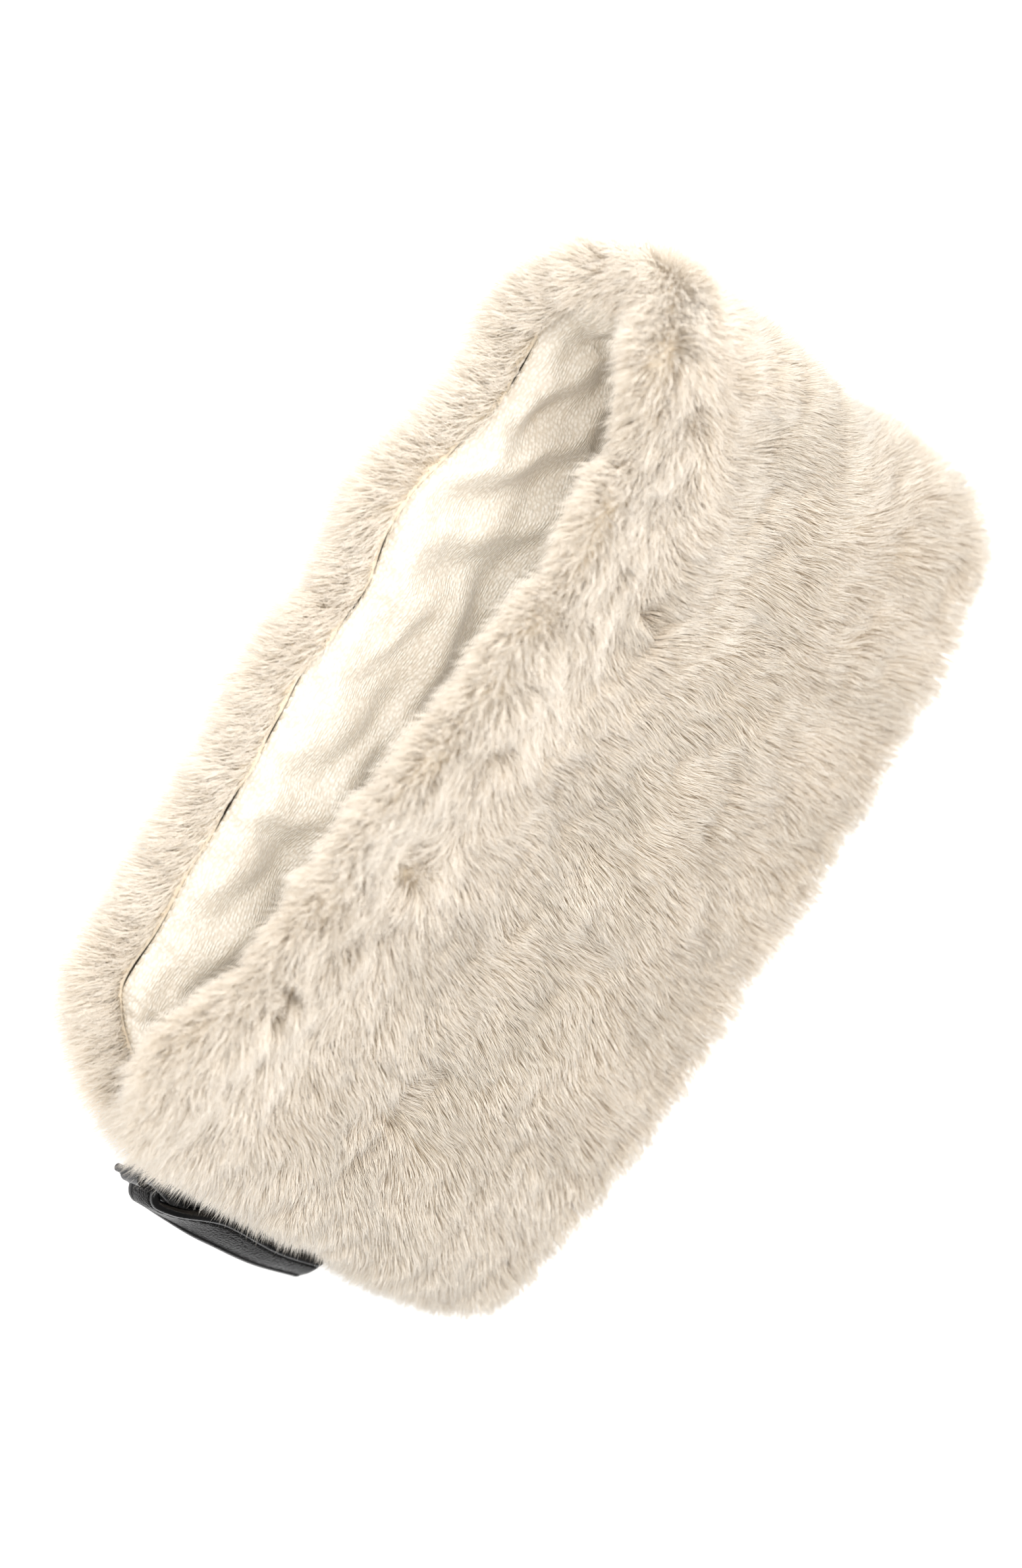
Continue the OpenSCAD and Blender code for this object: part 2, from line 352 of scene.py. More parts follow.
def lining_material():
    """Fine jersey: rows of small stitches along the muff, with a soft sheen, slight tone changes and painted
    shade in the hollows between its small grains.
    """
    material, tree, shader = node_material("lining", roughness=0.5, sheen=0.4)
    coords = add_node(tree, "ShaderNodeTexCoord")
    stretch = add_node(tree, "ShaderNodeMapping", {"Scale": (620.0, 1150.0, 620.0), "Rotation": (0, 0, 0.12)})
    tree.links.new(coords.outputs["Object"], stretch.inputs["Vector"])
    grains = add_node(tree, "ShaderNodeTexVoronoi", {"Scale": 1.0, "Randomness": 0.75}, feature="F1")
    tree.links.new(stretch.outputs["Vector"], grains.inputs["Vector"])
    rib_values = {"Scale": 350.0, "Distortion": 1.5, "Detail": 2.0, "Detail Scale": 2.0}
    ribs = add_node(tree, "ShaderNodeTexWave", rib_values, wave_type="BANDS", bands_direction="Y")
    shade = add_node(tree, "ShaderNodeTexNoise", {"Scale": 28.0, "Detail": 4.0})
    for node in (ribs, shade):
        tree.links.new(coords.outputs["Object"], node.inputs["Vector"])
    broad = ramp(tree, shade.outputs["Fac"], [(0.3, (0.87, 0.81, 0.72)), (0.7, (0.93, 0.89, 0.81))])
    # The grains keep their colour at their centres and darken towards their edges: painted shade in the
    # hollows between them, following their bump.
    painted_grain_shade = ramp(tree, grains.outputs["Distance"], [(0.15, (1.0, 1.0, 1.0)), (0.7, (0.72, 0.67, 0.60))])
    tree.links.new(mix_colour(tree, 0.75, broad, painted_grain_shade, "MULTIPLY"), shader.inputs["Base Color"])
    domes = ramp(tree, grains.outputs["Distance"], [(0.1, (1, 1, 1)), (0.7, (0, 0, 0))])
    bump(tree, shader, [(ribs.outputs["Fac"], 0.25, 0.0003), (domes, 0.5, 0.0004)])
    return material


def wadding_material():
    material, tree, shader = node_material("wadding", roughness=0.95)
    coords = add_node(tree, "ShaderNodeTexCoord")
    noise = add_node(tree, "ShaderNodeTexNoise", {"Scale": 400.0, "Detail": 6.0})
    tree.links.new(coords.outputs["Object"], noise.inputs["Vector"])
    colour = ramp(tree, noise.outputs["Fac"], [(0.3, (0.82, 0.82, 0.80)), (0.7, (0.95, 0.95, 0.93))])
    tree.links.new(colour, shader.inputs["Base Color"])
    bump(tree, shader, [(noise.outputs["Fac"], 0.7, 0.001)])
    return material


def thread_material(name, dark, light):
    material, tree, shader = node_material(name, roughness=0.7)
    coords = add_node(tree, "ShaderNodeTexCoord")
    bands = {"wave_type": "BANDS", "bands_direction": "DIAGONAL"}
    twist = add_node(tree, "ShaderNodeTexWave", {"Scale": 900.0}, **bands)
    tree.links.new(coords.outputs["Object"], twist.inputs["Vector"])
    tree.links.new(ramp(tree, twist.outputs["Fac"], [(0.2, dark), (0.8, light)]), shader.inputs["Base Color"])
    bump(tree, shader, [(twist.outputs["Fac"], 0.6, 0.0001)])
    return material


def leather_material(name, grain):
    """Black leather: pebbled where grain is 1, drawn smooth over a roll where it is small."""
    material, tree, shader = node_material(name, roughness=0.3)
    shader.inputs["Specular IOR Level"].default_value = 0.5 - 0.34 * grain
    coords = add_node(tree, "ShaderNodeTexCoord")
    cells = add_node(tree, "ShaderNodeTexVoronoi", {"Scale": 1150.0, "Randomness": 0.9}, feature="F1")
    creases = add_node(tree, "ShaderNodeTexNoise", {"Scale": 260.0, "Detail": 6.0})
    wear = add_node(tree, "ShaderNodeTexNoise", {"Scale": 60.0, "Detail": 5.0})
    for node in (cells, creases, wear):
        tree.links.new(coords.outputs["Object"], node.inputs["Vector"])
    colour = ramp(tree, wear.outputs["Fac"], [(0.35, (0.003, 0.003, 0.003)), (0.7, (0.011, 0.010, 0.010))])
    rough = ramp(tree, wear.outputs["Fac"], [(0.3, (0.20, 0.20, 0.20)), (0.7, (0.36, 0.36, 0.36))])
    dome_stops = [(0.0, (1, 1, 1)), (0.4, (0.75, 0.75, 0.75)), (0.75, (0, 0, 0))]
    domes = ramp(tree, cells.outputs["Distance"], dome_stops)
    tree.links.new(colour, shader.inputs["Base Color"])
    tree.links.new(rough, shader.inputs["Roughness"])
    bump(tree, shader, [(creases.outputs["Fac"], 0.2, 0.0003), (domes, 0.9 * grain, 0.0005)])
    return material


def enamel_material():
    """Black enamel on the ring's wire, slightly uneven."""
    material, tree, shader = node_material("ring_enamel", roughness=0.3)
    coords = add_node(tree, "ShaderNodeTexCoord")
    noise = add_node(tree, "ShaderNodeTexNoise", {"Scale": 300.0, "Detail": 4.0})
    tree.links.new(coords.outputs["Object"], noise.inputs["Vector"])
    colour = ramp(tree, noise.outputs["Fac"], [(0.3, (0.008, 0.008, 0.008)), (0.7, (0.03, 0.03, 0.03))])
    tree.links.new(colour, shader.inputs["Base Color"])
    bump(tree, shader, [(noise.outputs["Fac"], 0.1, 0.0001)])
    return material


# ---------------------------------------------------------------- fur
def strand_mesh(name, points, radii, tint, material):
    """One mesh of closed three-sided blades. points is (strands, rings, 3), and the last ring is the tip."""
    count, rings = points.shape[:2]
    sides = 3
    run = unit(np.gradient(points, axis=1))
    flat = unit(np.cross(run, unit(points[:, -1:] * [0.31, 0.83, 0.46] + [0.2, 0.1, 0.9])))
    other = np.cross(run, flat)
    turn = 2 * math.pi * np.arange(sides) / sides
    body = points[:, :-1, None] + radii[:, :-1, None, None] * (
        flat[:, :-1, None] * np.cos(turn)[:, None] + other[:, :-1, None] * np.sin(turn)[:, None]
    )
    verts = np.concatenate([body.reshape(count, -1, 3), points[:, -1:]], 1)
    one = []
    for ring in range(rings - 2):
        for side in range(sides):
            a, b = ring * sides + side, ring * sides + (side + 1) % sides
            one += [(a, b, b + sides), (a, b + sides, a + sides)]
    last, tip = (rings - 2) * sides, (rings - 1) * sides
    one += [(last + side, last + (side + 1) % sides, tip) for side in range(sides)]
    one += [(2, 1, 0)]
    one = np.array(one)
    per = verts.shape[1]
    faces = (one[None] + (np.arange(count) * per)[:, None, None]).reshape(-1, 3)
    height = np.append(np.repeat(np.linspace(0, 1, rings)[:-1], sides), 1.0)
    v = np.broadcast_to(height[one], (count, *one.shape))
    u = np.broadcast_to(tint[:, None, None], v.shape)
    uv = np.stack([u, v], -1)
    return mesh_object(name, verts.reshape(-1, 3), faces, material, uv)


def rim_share(q, t):
    """1 over the front lip, falling slowly to 0 behind it."""
    from_lip = LIP_Y - np.abs(t) + 0.006 * waves(q, q * 0, 0.05, 15)
    return np.where(t < 0, 1 - smooth((from_lip - 0.004) / 0.042), 0)


def nap_direction(point, rim, high):
    """Which way the pile lies: back over the muff, fanning towards both ends, and over the front lip."""
    x, y = point[..., 0], point[..., 1]
    turn = 15 + 290 * x + 20 * waves(x, y, 0.07, 11) + 16 * waves(x, y, 0.024, 12)
    lip_turn = 138 - 22 * high + 14 * waves(x, y, 0.03, 13)
    angle = np.radians(turn * (1 - rim) + lip_turn * rim)
    lift = 0.5 * high * rim - 0.45 * smooth((np.abs(x) - 0.13) / 0.04) * (1 - rim)
    return unit(np.stack([np.sin(angle), np.cos(angle), lift], -1))


def partings(point, level):
    """Where the pile parts: how strongly at each point, and the direction away from the nearest parting."""
    share, away = np.zeros(point.shape[:-1]), np.zeros_like(point)
    x, y = point[..., 0], point[..., 1]
    ragged = np.stack([0.007 * waves(x, y, 0.016, 61), 0.004 * waves(x, y, 0.016, 62), np.zeros_like(x)], -1)
    for centre_x, centre_y, size in PARTINGS:
        gap = (point - [centre_x, centre_y, 0]) * [0.7, 1.1, 0] + ragged
        near = np.exp(-np.sum(gap**2, -1) / size**2) * (level > SEAM_HIGH)
        share = share + near
        away = away + near[..., None] * unit(gap)
    return share, away


def fur_field(q, t, numbers):
    """Root, root direction, tip and length of strands rooted at (q, t), with two random numbers for each."""
    _, _, roll = lip_path(t)
    root, normal = skin_frame(q, t)
    x, y = root[..., 0], root[..., 1]
    rolled, inner = smooth(roll / math.pi * 2), smooth(roll / math.pi * 2 - 1)
    rim = rim_share(q, t)
    level = outline(q)[1]
    high = smooth((level - 0.03) / 0.03)
    under = smooth((0.004 - level) / 0.004) * (1 - rolled) * (1 - rim)
    tilt = 41 + 11 * waves(x, y, 0.013, 21, stretch=2.0) + 9 * waves(x, y, 0.035, 22, stretch=1.5)
    tilt = tilt * (1 - rolled) + (36 + 22 * inner) * rolled
    tilt = np.radians(np.clip(np.where(under > 0.5, 66, tilt), 12, 68))
    parted, away = partings(root, level)
    nap = unit(nap_direction(root, rim, high) + 1.1 * away)
    tilt = tilt + 0.30 * parted
    hold = 0.85 * (1 - rolled)
    lie = nap - hold[..., None] * np.sum(nap * normal, -1, keepdims=True) * normal
    length = PILE + 0.0015 * rim - 0.0020 * rolled * high - 0.0015 * inner * (1 + 2 * high) - 0.003 * under
    length = length * (0.80 + 0.36 * numbers[..., 0]) * (1 + 0.14 * rolled * waves(q, q * 0, 0.014, 23))
    base_tilt = tilt * 0.4
    rise = normal * np.cos(base_tilt)[..., None] + lie * np.sin(base_tilt)[..., None]
    reach = unit(normal * np.cos(tilt)[..., None] + lie * np.sin(tilt)[..., None])
    return root, rise, root + reach * length[..., None], length


def tuft_centres(q, t, size, rng):
    """The nearest of a jittered grid of tuft centres to each root, and that tuft's random numbers."""
    table = rng.random((*TUFT_TABLE, 5))
    i, j = np.floor(q / size).astype(int), np.floor(t / size).astype(int)
    best = np.full(q.shape, np.inf)
    centre_q, centre_t, numbers = np.zeros_like(q), np.zeros_like(t), np.zeros((*q.shape, 5))
    for di in (-1, 0, 1):
        for dj in (-1, 0, 1):
            found = table[(i + di) % TUFT_TABLE[0], (j + dj) % TUFT_TABLE[1]]
            cq, ct = (i + di + found[..., 0]) * size, (j + dj + found[..., 1]) * size
            gap = (cq - q) ** 2 + ((ct - t) * 0.7) ** 2
            near = gap < best
            best = np.where(near, gap, best)
            centre_q, centre_t = np.where(near, cq, centre_q), np.where(near, ct, centre_t)
            numbers = np.where(near[..., None], found, numbers)
    return centre_q, np.clip(centre_t, SEAM_GAP - PATH, PATH - SEAM_GAP), numbers


def strands(q, t, rng):
    """Curves, radii and tints of strands rooted at (q, t), drawn together into tufts."""
    root, rise, tip, length = fur_field(q, t, rng.random((len(q), 2)))
    rim = rim_share(q, t)
    for size, pull in TUFTS:
        cq, ct, numbers = tuft_centres(q, t, size, np.random.default_rng(SEED + int(size * 1e4)))
        _, _, centre_tip, _ = fur_field(cq, ct, numbers[:, 2:4])
        sway = (numbers[:, 2:5] - 0.5) * size * [1.5, 1.5, 0.9]
        strength = pull * (0.6 + 0.8 * numbers[:, 4]) * (1 - 0.8 * rim)
        tip = tip + strength[:, None] * (centre_tip + sway - tip)
    tip = tip + rng.normal(0, 1, tip.shape) * (0.0010 + 0.0009 * rim)[:, None]
    middle = root + rise * (length * 0.52)[:, None] + rng.normal(0, 0.0007, tip.shape)
    steps = np.array([0, 0.36, 0.70, 1.0])[:, None]
    root, middle, tip = root[:, None], middle[:, None], tip[:, None]
    points = root * (1 - steps) ** 2 + middle * 2 * steps * (1 - steps) + tip * steps**2
    floor = 0.0004 + 0.0008 * rng.random(len(q))
    points[..., 2] = np.maximum(points[..., 2], floor[:, None])
    thick = STRAND_R * (0.8 + 0.5 * rng.random(len(q)))
    radii = thick[:, None] * np.array([1.0, 1.0, 0.75, 0.0])
    patch = waves(root[:, 0, 0], root[:, 0, 1], 0.05, 31)
    forward = smooth((0.02 - root[:, 0, 1]) / 0.12)
    parted, _ = partings(root[:, 0], outline(q)[1])
    # Tint: random patches and noise, paler towards the front; the front lip's strands are painted paler,
    # painted light standing in for light scattered through its fluff, and strands at partings are painted
    # darker, painted shade down in each parting.
    tint = 0.42 + 0.10 * patch + 0.16 * forward + 0.30 * rim - 0.18 * parted + 0.16 * rng.normal(size=len(q))
    # A few strands get the darkest tint: dark specks of painted shade standing in for the shadows between
    # clumps.
    tint = np.where(rng.random(len(q)) < 0.045 * (1 - rim), 0.03, np.clip(tint, 0.1, 0.98))
    return points, radii, tint


def share_grown(q, t):
    """How much of the full density grows at (q, t): all round the front lip, least where the muff lies."""
    rolled = smooth((np.abs(t) - LIP_Y) / 0.004)
    share = TOP_SHARE + np.where(t < 0, 1 - TOP_SHARE, 0.25) * rolled
    share = np.maximum(share, TOP_SHARE + 0.30 * rim_share(q, t) * (outline(q)[1] > SEAM_HIGH))
    hidden = (outline(q)[1] < 0.002) & (np.abs(t) < LIP_Y - 0.02)
    return np.where(hidden, UNDER_SHARE, share)


def grow(node, q_low, q_high, material, rng):
    """Covers the part of the sleeve between two distances round it with strands, in several pieces."""
    count = int((q_high - q_low) * 2 * PATH * DENSITY * (1))
    q, t = rng.uniform(q_low, q_high, count), rng.uniform(SEAM_GAP - PATH, PATH - SEAM_GAP, count)
    chosen = rng.random(count) < share_grown(q, t)
    q, t = q[chosen], t[chosen]
    order = np.argsort(q)
    q, t = q[order], t[order]
    points, radii, tint = strands(q, t, rng)
    pieces = max(1, math.ceil(len(q) / STRANDS_PER_PIECE))
    for index, part in enumerate(np.array_split(np.arange(len(q)), pieces)):
        obj = strand_mesh(f"{node}_pile_{index + 1:02d}", points[part], radii[part], tint[part], material)
        soft(obj, node)


def sheet(name, node, q_range, depths, place, material, rows=120):
    """A grid sheet between two distances round the sleeve; place turns (q, depth) into points."""
    q = np.linspace(*q_range, rows)[:, None]
    points = place(q, depths[None, :])
    faces = grid_faces(rows, len(depths))
    return soft(mesh_object(name, points.reshape(-1, 3), faces, material), node)


PARTS = {
    "bottom": (-SEAM_LOW_Q, SEAM_LOW_Q),
    "right": (SEAM_LOW_Q, SEAM_HIGH_Q),
    "top": (SEAM_HIGH_Q, 2 * HALF_LEN - SEAM_HIGH_Q),
    "left": (2 * HALF_LEN - SEAM_HIGH_Q, 2 * HALF_LEN - SEAM_LOW_Q),
}
FUR_NODES = {"bottom": "fur_bottom", "right": "side_seam_right", "top": "fur_top", "left": "side_seam_left"}
LINING_NODES = {
    "bottom": "lining_bottom",
    "right": "lining_seam_right",
    "top": "lining_top",
    "left": "lining_seam_left",
}


def build_fur():
    """Knit backing and pile of both walls and both side seams."""
    fur, backing = fur_material(), backing_material()
    rng = np.random.default_rng(SEED)
    depths = np.concatenate([
        np.linspace(-PATH, -LIP_Y, 16), np.linspace(-LIP_Y, LIP_Y, 90)[1:-1], np.linspace(LIP_Y, PATH, 16),
    ])
    for part, q_range in PARTS.items():
        rows = max(8, int((q_range[1] - q_range[0]) / 0.003))
        sheet(f"{FUR_NODES[part]}_backing", FUR_NODES[part], q_range, depths, skin, backing, rows)
        grow(FUR_NODES[part], *q_range, fur, rng)


# ---------------------------------------------------------------- lining, wadding and seams
def lining_surface(q, y):
    """The lining puffs up from its seam like the edge of a cushion and hangs loose in soft diagonal folds."""
    x0, _, _, _ = outline(q)
    inward = LIP_Y - np.abs(y)
    puff = np.sqrt(1 - (1 - np.clip(inward / PUFF_RUN, 0, 1)) ** 2)
    folds = 0.0022 * waves(x0 + 0.8 * y, y - 0.3 * x0, 0.045, 41, stretch=0.6)
    folds = folds + 0.0008 * waves(x0 + 0.5 * y, y, 0.02, 42)
    pucker_turn = x0 * 2 * math.pi / 0.014 + 2.5 * waves(x0, y * 0, 0.05, 43)
    puckers = 0.0006 * np.sin(pucker_turn) * puff * (1 - puff) * 4
    inset = INNER_IN + 0.0002 + PUFF * puff + folds * smooth(inward / 0.025) + puckers
    return sleeve(q, inset, y)


def drape(obj, pinned):
    """Buckles a sheet a little too long for its place into soft folds, held along its sewn edges."""
    pins = obj.vertex_groups.new(name="pins")
    pins.add([int(i) for i in np.flatnonzero(pinned)], 1.0, "REPLACE")
    before = np.zeros(len(obj.data.vertices) * 3, np.float32)
    obj.data.vertices.foreach_get("co", before)
    cloth = obj.modifiers.new("Cloth", "CLOTH")
    settings = cloth.settings
    settings.quality, settings.mass, settings.vertex_group_mass = 6, 0.15, "pins"
    settings.tension_stiffness = settings.compression_stiffness = 12
    settings.shear_stiffness, settings.bending_stiffness = 4, FOLD_STIFFNESS
    settings.shrink_min = -EXTRA_CLOTH
    settings.effector_weights.gravity = 0
    scene = bpy.context.scene
    for number in range(1, FOLD_FRAMES + 1):
        scene.frame_set(number)
    after = np.zeros_like(before)
    obj.evaluated_get(bpy.context.evaluated_depsgraph_get()).data.vertices.foreach_get("co", after)
    obj.modifiers.remove(cloth)
    obj.vertex_groups.clear()
    scene.frame_set(1)
    moved = np.clip(after - before, -FOLD_LIMIT, FOLD_LIMIT)
    obj.data.vertices.foreach_set("co", before + moved)
    obj.data.update()


def build_lining():
    """The lining's four sheets; the lower one, which shows through the mouth, is draped."""
    material = lining_material()
    for part, q_range in PARTS.items():
        node = LINING_NODES[part]
        rows = max(6, int((q_range[1] - q_range[0]) / LINING_STEP))
        depths = np.linspace(-LIP_Y, LIP_Y, int(2 * LIP_Y / LINING_STEP))
        q = np.linspace(*q_range, rows)[:, None]
        points = lining_surface(q, depths[None, :])
        obj = mesh_object(f"{node}_cloth", points.reshape(-1, 3), grid_faces(rows, len(depths)), material)
        if part == "bottom":
            edge = np.zeros((rows, len(depths)), bool)
            edge[[0, -1]] = edge[:, [0, -1]] = True
            drape(obj, edge.ravel())
        finer = obj.modifiers.new("Finer", "SUBSURF")
        finer.levels = finer.render_levels = 1
        bpy.context.view_layer.objects.active = obj
        bpy.ops.object.modifier_apply(modifier=finer.name)
        soft(obj, node)


def wadding_surface(q, y):
    x0, _, _, _ = outline(q)
    return sleeve(q, WADDING_IN + 0.0010 * waves(x0, y, 0.03, 51), y)


def build_wadding():
    material = wadding_material()
    depths = np.linspace(-LIP_Y + WADDING_GAP, LIP_Y - WADDING_GAP, 60)
    inset_q = SEAM_HIGH_Q + WADDING_GAP
    ranges = {"wadding_bottom": (-END_X, END_X), "wadding_top": (inset_q, 2 * HALF_LEN - inset_q)}
    for node, q_range in ranges.items():
        sheet(f"{node}_fleece", node, q_range, depths, wadding_surface, material)


def tube_mesh(name, paths, radius, material, sides=8, closed=False):
    """Round cords along paths of shape (cords, points, 3), capped at their ends unless closed."""
    cords, rings = paths.shape[:2]
    run = np.roll(paths, -1, 1) - np.roll(paths, 1, 1) if closed else np.gradient(paths, axis=1)
    run = unit(run)
    flat = unit(np.cross(run, [0.13, 0.29, 0.95]))
    other = np.cross(run, flat)
    turn = 2 * math.pi * np.arange(sides) / sides
    verts = paths[:, :, None] + radius * (
        flat[:, :, None] * np.cos(turn)[:, None] + other[:, :, None] * np.sin(turn)[:, None]
    )
    rows = grid_faces(rings + 1 if closed else rings, sides, wrap=True)
    rows = np.mod(rows, rings * sides) if closed else rows
    quads = (rows[None] + (np.arange(cords) * rings * sides)[:, None, None]).reshape(-1, 4)
    obj = mesh_object(name, verts.reshape(-1, 3), quads, material)
    if not closed:
        caps = bpy.data.meshes.new(name)
        corners = verts.reshape(-1, 3)
        loops = [tuple(q) for q in quads.tolist()]
        for cord in range(cords):
            start = cord * rings * sides
            loops.append(tuple(start + side for side in reversed(range(sides))))
            loops.append(tuple(start + (rings - 1) * sides + side for side in range(sides)))
        caps.from_pydata(corners.tolist(), [], loops)
        caps.polygons.foreach_set("use_smooth", [True] * len(loops))
        caps.materials.append(material)
        obj.data = caps
    return obj


def stitch_paths(q, y, inset, length, along_q):
    """Short thread paths on the inside of the sleeve, each bowed a little off the cloth."""
    steps = np.linspace(-0.5, 0.5, 5)
    bow = 0.0004 * (1 - (2 * steps) ** 2)
    shift = length * steps
    return sleeve(q[:, None] + shift * along_q, inset + bow, y[:, None] + shift * (1 - along_q))


def build_stitches():
    """Hem stitches round both mouths and the runs of thread along both side seams."""
    material = thread_material("thread", (0.66, 0.58, 0.46), (0.82, 0.74, 0.62))
    for mouth, sign in (("front", -1), ("rear", 1)):
        for wall, q_range in (("bottom", PARTS["bottom"]), ("top", PARTS["top"])):
            q = np.arange(q_range[0] + HEM_PITCH, q_range[1] - HEM_PITCH, HEM_PITCH)
            y = np.full(len(q), sign * LIP_Y)
            paths = stitch_paths(q, y, INNER_IN + 0.0008, HEM_STITCH, 1)
            node = f"{mouth}_hem_stitches_{wall}"
            soft(tube_mesh(f"{node}_thread", paths, THREAD_R, material), node)
    q_right = (SEAM_LOW_Q + SEAM_HIGH_Q) / 2
    for side, q_seam in (("right", q_right), ("left", 2 * HALF_LEN - q_right)):
        y = np.arange(-LIP_Y + SEAM_PITCH, LIP_Y - SEAM_PITCH, SEAM_PITCH)
        paths = stitch_paths(np.full(len(y), q_seam), y, SEAM_THREAD_IN, SEAM_STITCH, 0)
        node = f"side_seam_thread_{side}"
        soft(tube_mesh(f"{node}_run", paths, THREAD_R, material), node)


# ---------------------------------------------------------------- carry loop
LEAN, LOOP_TURN = math.radians(12), math.radians(2)
LOOP_OUT = np.array([math.cos(LEAN), 0, math.sin(LEAN)])
LOOP_UP = np.array([-math.sin(LEAN), 0, math.cos(LEAN)])
LOOP_END = 0.0731
LOOP_R, LOOP_R_FLAT = 0.0032, 0.0021
STRAP_T, SKIN_W, EDGE_W = 0.0034, 0.0058, 0.0066
EDGE_R = {"upper": 0.0017, "lower": 0.0020}
TWIST = math.radians(34)
RUN_SHIFT = 0.0026
SKIN_T = 0.0009
STITCH_IN, STITCH_R, STITCH_EVERY, STITCH_POINTS, RUN_POINTS = 0.0044, 0.00025, 5, 4, 200


def loop_path(count):
    """Closed path of the folded strap: distance out, distance along, and the outward normal of its middle."""
    bend = math.pi * LOOP_R
    total = 2 * LOOP_END + 2 * bend
    d = np.linspace(0, total, count, endpoint=False)
    out = np.clip(d, 0, LOOP_END)
    far = np.clip((d - LOOP_END) / LOOP_R, 0, math.pi)
    back = np.clip(d - LOOP_END - bend, 0, LOOP_END)
    near = np.clip((d - 2 * LOOP_END - bend) / LOOP_R, 0, math.pi)
    turn = far + near
    along = out - back
    radius = LOOP_R + (LOOP_R_FLAT - LOOP_R) * smooth(along / 0.018)
    a = radius * np.cos(turn)
    b = along + radius * np.sin(turn)
    return a, b, np.cos(turn), np.sin(turn), along


def loop_point(depth, width, count=220):
    """Points of the strap at the given distances off its middle and across it, both of shape (1, n)."""
    origin = np.array(next(j for j in frame["joints"] if j["name"] == "loop_swing")["pos_m"])
    a, b, na, nb, along = (v[:, None] for v in loop_path(count))
    a, b = a + na * depth, b + nb * depth
    share = along / LOOP_END
    turn = TWIST * smooth(along / 0.03)
    across = width * (1 - 0.10 * (1 - smooth(along / 0.010)) - 0.22 * smooth(share * 1.6 - 0.6))
    across = across - RUN_SHIFT * (1 - na) / 2 * smooth(share * 1.5)
    sag = 0.0014 * np.sin(math.pi * share) + 0.0005 * np.sin(9 * share + 1.0) * smooth(share * 4)
    out = a * np.cos(turn) - across * np.sin(turn) + sag
    up = a * np.sin(turn) + across * np.cos(turn) + 0.0010 * np.sin(5 * share)
    cos, sin = math.cos(LOOP_TURN), math.sin(LOOP_TURN)
    points = origin + (out * cos + b * sin)[..., None] * LOOP_OUT + up[..., None] * LOOP_UP
    points[..., 1] += b * cos - out * sin
    return points


def loop_shell(name, node, outer, inner, half_width, crown, material):
    """A skin of the strap as a closed band with rounded sides; crown lifts the middle of its outer face."""
    steps = 15
    across = np.linspace(-1, 1, steps)
    lift = crown * (1 - across**2)
    fall = (outer - inner) * 0.5 * np.clip(np.abs(across) - 0.85, 0, 1) / 0.15
    depth = np.concatenate([outer + lift - np.sign(outer - inner) * np.abs(fall), np.full(steps, inner)])
    width = np.concatenate([across, across[::-1]]) * half_width
    points = loop_point(depth[None], width[None])
    rows = len(points)
    faces = np.mod(grid_faces(rows + 1, 2 * steps, wrap=True), rows * 2 * steps)
    return loop_piece(mesh_object(name, points.reshape(-1, 3), faces, material), node)


def loop_piece(obj, node):
    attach(obj, "loop")
    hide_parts(node)
    return obj


def build_loop():
    """The strap's skins, core, rolled edges and stitches; the tab and the ring keep their CAD shapes."""
    grained, rolled = leather_material("leather", 1.0), leather_material("leather_rolled", 0.12)
    thread = thread_material("leather_thread", (0.012, 0.012, 0.012), (0.04, 0.04, 0.04))
    half = STRAP_T / 2
    loop_shell("loop_face_skin", "loop_face", half, half - SKIN_T, SKIN_W, 0.0006, grained)
    loop_shell("loop_backing_skin", "loop_backing", -half, -half + SKIN_T, SKIN_W, -0.0001, grained)
    loop_shell("loop_core_felt", "loop_core", half - 0.0010, -half + 0.0010, SKIN_W - 0.0004, 0, grained)
    for side, sign in (("upper", 1), ("lower", -1)):
        path = loop_point(np.array([[0.0]]), np.array([[sign * EDGE_W]]))
        cords = path.transpose(1, 0, 2)
        roll = tube_mesh(f"loop_edge_{side}_roll", cords, EDGE_R[side], rolled, 14, closed=True)
        loop_piece(roll, f"loop_edge_{side}")
        points = loop_point(np.array([[half + 0.0001]]), np.array([[sign * STITCH_IN]]), RUN_POINTS)[:, 0]
        starts = np.arange(2, RUN_POINTS - 2, STITCH_EVERY)
        paths = np.stack([points[i : i + STITCH_POINTS] for i in starts if i + STITCH_POINTS <= RUN_POINTS])
        run = tube_mesh(f"loop_stitches_{side}_thread", paths, STITCH_R, thread, 6)
        loop_piece(run, f"loop_stitches_{side}")
    enamel = enamel_material()
    for node, material in (("anchor_tab", rolled), ("ring", enamel), ("anchor_stitches", thread)):
        obj = frame["nodes"][node]
        obj.data.materials.clear()
        obj.data.materials.append(material)


# ---------------------------------------------------------------- stage, light and camera
def build_stage():
    bpy.ops.mesh.primitive_plane_add(size=8, location=(0, 0, 0))
    floor = bpy.context.object
    floor.name = "floor"
    material, tree, shader = node_material("floor", roughness=0.9)
    shader.inputs["Base Color"].default_value = (0.95, 0.95, 0.95, 1)
    shader.inputs["Emission Color"].default_value = (1, 1, 1, 1)
    shader.inputs["Emission Strength"].default_value = 0.45
    floor.data.materials.append(material)


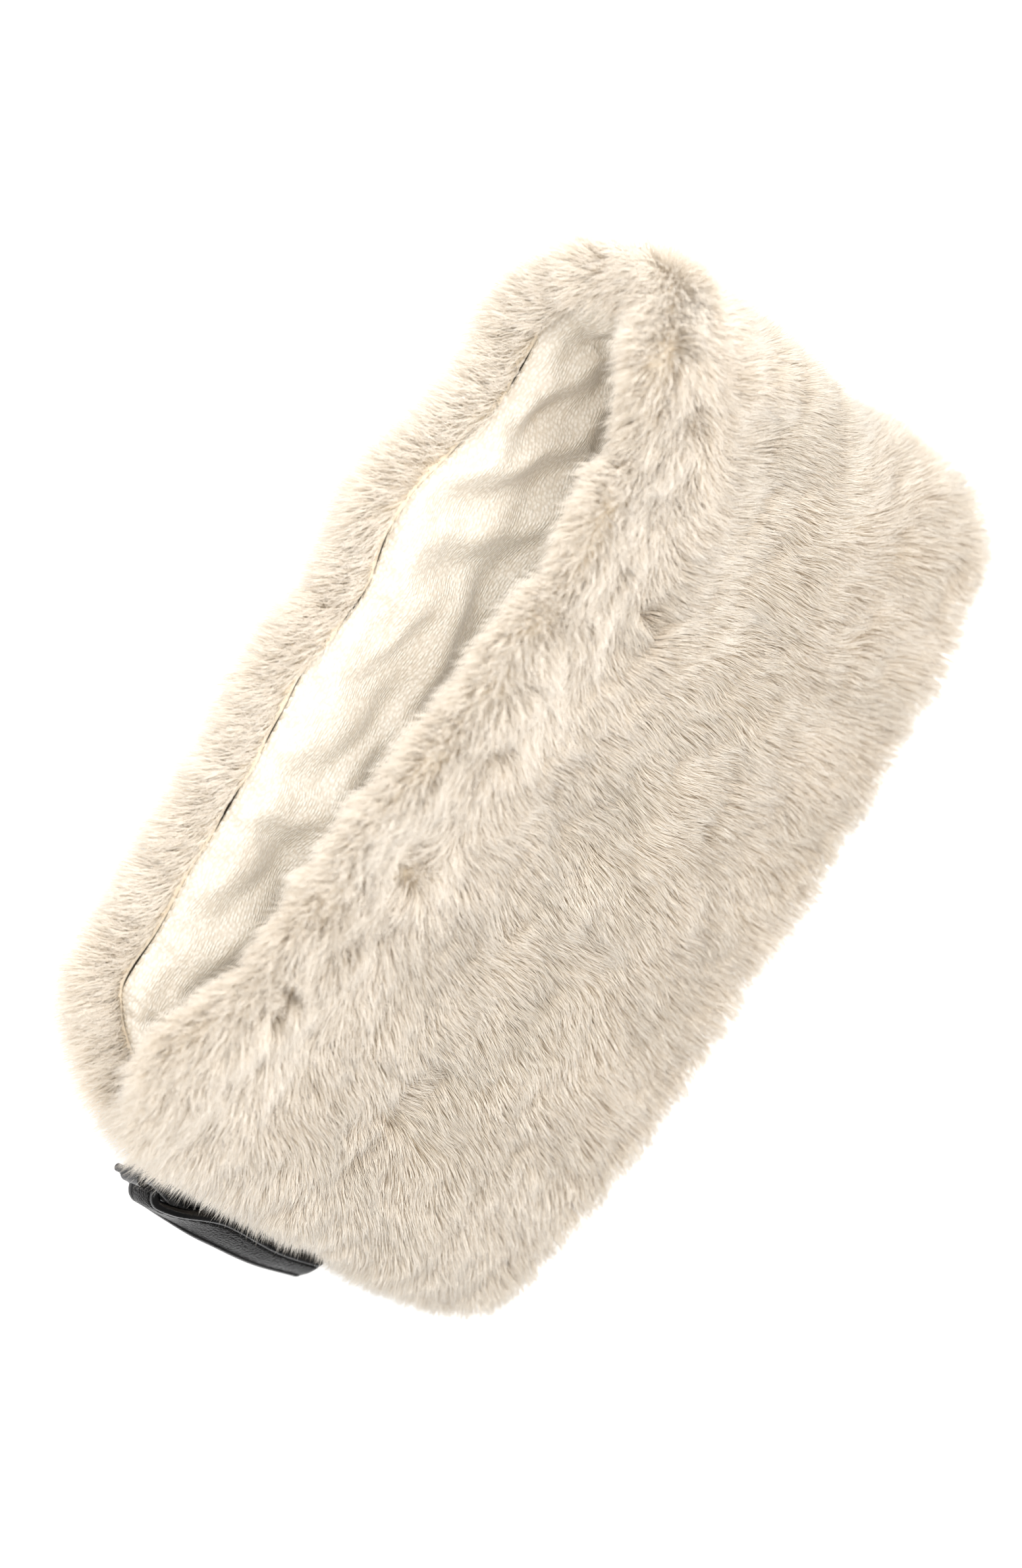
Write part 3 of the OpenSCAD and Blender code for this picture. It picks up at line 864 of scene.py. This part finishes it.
def area_light(name, location, target, size, power, colour=(1, 1, 1)):
    data = bpy.data.lights.new(name, "AREA")
    data.size, data.energy, data.color = size, power, colour
    lamp = bpy.data.objects.new(name, data)
    lamp.location = location
    direction = np.array(target) - np.array(location)
    lamp.rotation_mode = "QUATERNION"
    lamp.rotation_quaternion = Vector(direction).to_track_quat("-Z", "Y")
    bpy.context.scene.collection.objects.link(lamp)


def build_light():
    """A white surround, dimmer in the leather's reflections, with soft lamps on the left and in front."""
    scene = bpy.context.scene
    scene.view_settings.view_transform = "Standard"
    world = bpy.data.worlds.new("studio")
    world.use_nodes = True
    tree = world.node_tree
    path = add_node(tree, "ShaderNodeLightPath")
    strength = add_node(tree, "ShaderNodeMapRange", {"To Min": 1.0, "To Max": 0.15})
    tree.links.new(path.outputs["Is Glossy Ray"], strength.inputs["Value"])
    tree.links.new(strength.outputs["Result"], tree.nodes["Background"].inputs["Strength"])
    tree.nodes["Background"].inputs["Color"].default_value = (1, 1, 1, 1)
    scene.world = world
    area_light("key", (-0.9, -0.4, 1.3), (0, 0, 0), 1.1, 22)
    area_light("front", (0.1, -1.3, 1.0), (0, 0, 0), 0.9, 9)


def build_camera():
    """Looks down on the front mouth from 50 degrees, rolled so that the loop's end is at the lower left."""
    elevation, roll, distance = math.radians(50), math.radians(240), 1.012
    target = Vector((0.0023, -0.0135, 0.038))
    sharp = Vector((0, 0.005, 0.07))
    back = Vector((0, -math.cos(elevation), math.sin(elevation)))
    right = Vector((1, 0, 0))
    up = back.cross(right)
    cos, sin = math.cos(roll), math.sin(roll)
    data = bpy.data.cameras.new("camera")
    data.lens, data.sensor_width = 70, 36
    data.dof.use_dof, data.dof.aperture_fstop = True, 4.0
    focus = bpy.data.objects.new("focus_point", None)
    focus.location = sharp
    bpy.context.scene.collection.objects.link(focus)
    data.dof.focus_object = focus
    camera = bpy.data.objects.new("camera", data)
    image_right, image_up = right * cos - up * sin, right * sin + up * cos
    turn = Matrix((image_right, image_up, back)).transposed()
    camera.matrix_world = Matrix.Translation(target + back * distance) @ turn.to_4x4()
    bpy.context.scene.collection.objects.link(camera)
    bpy.context.scene.camera = camera


build_fur()
build_lining()
build_wadding()
build_stitches()
build_loop()
build_stage()
build_light()
build_camera()
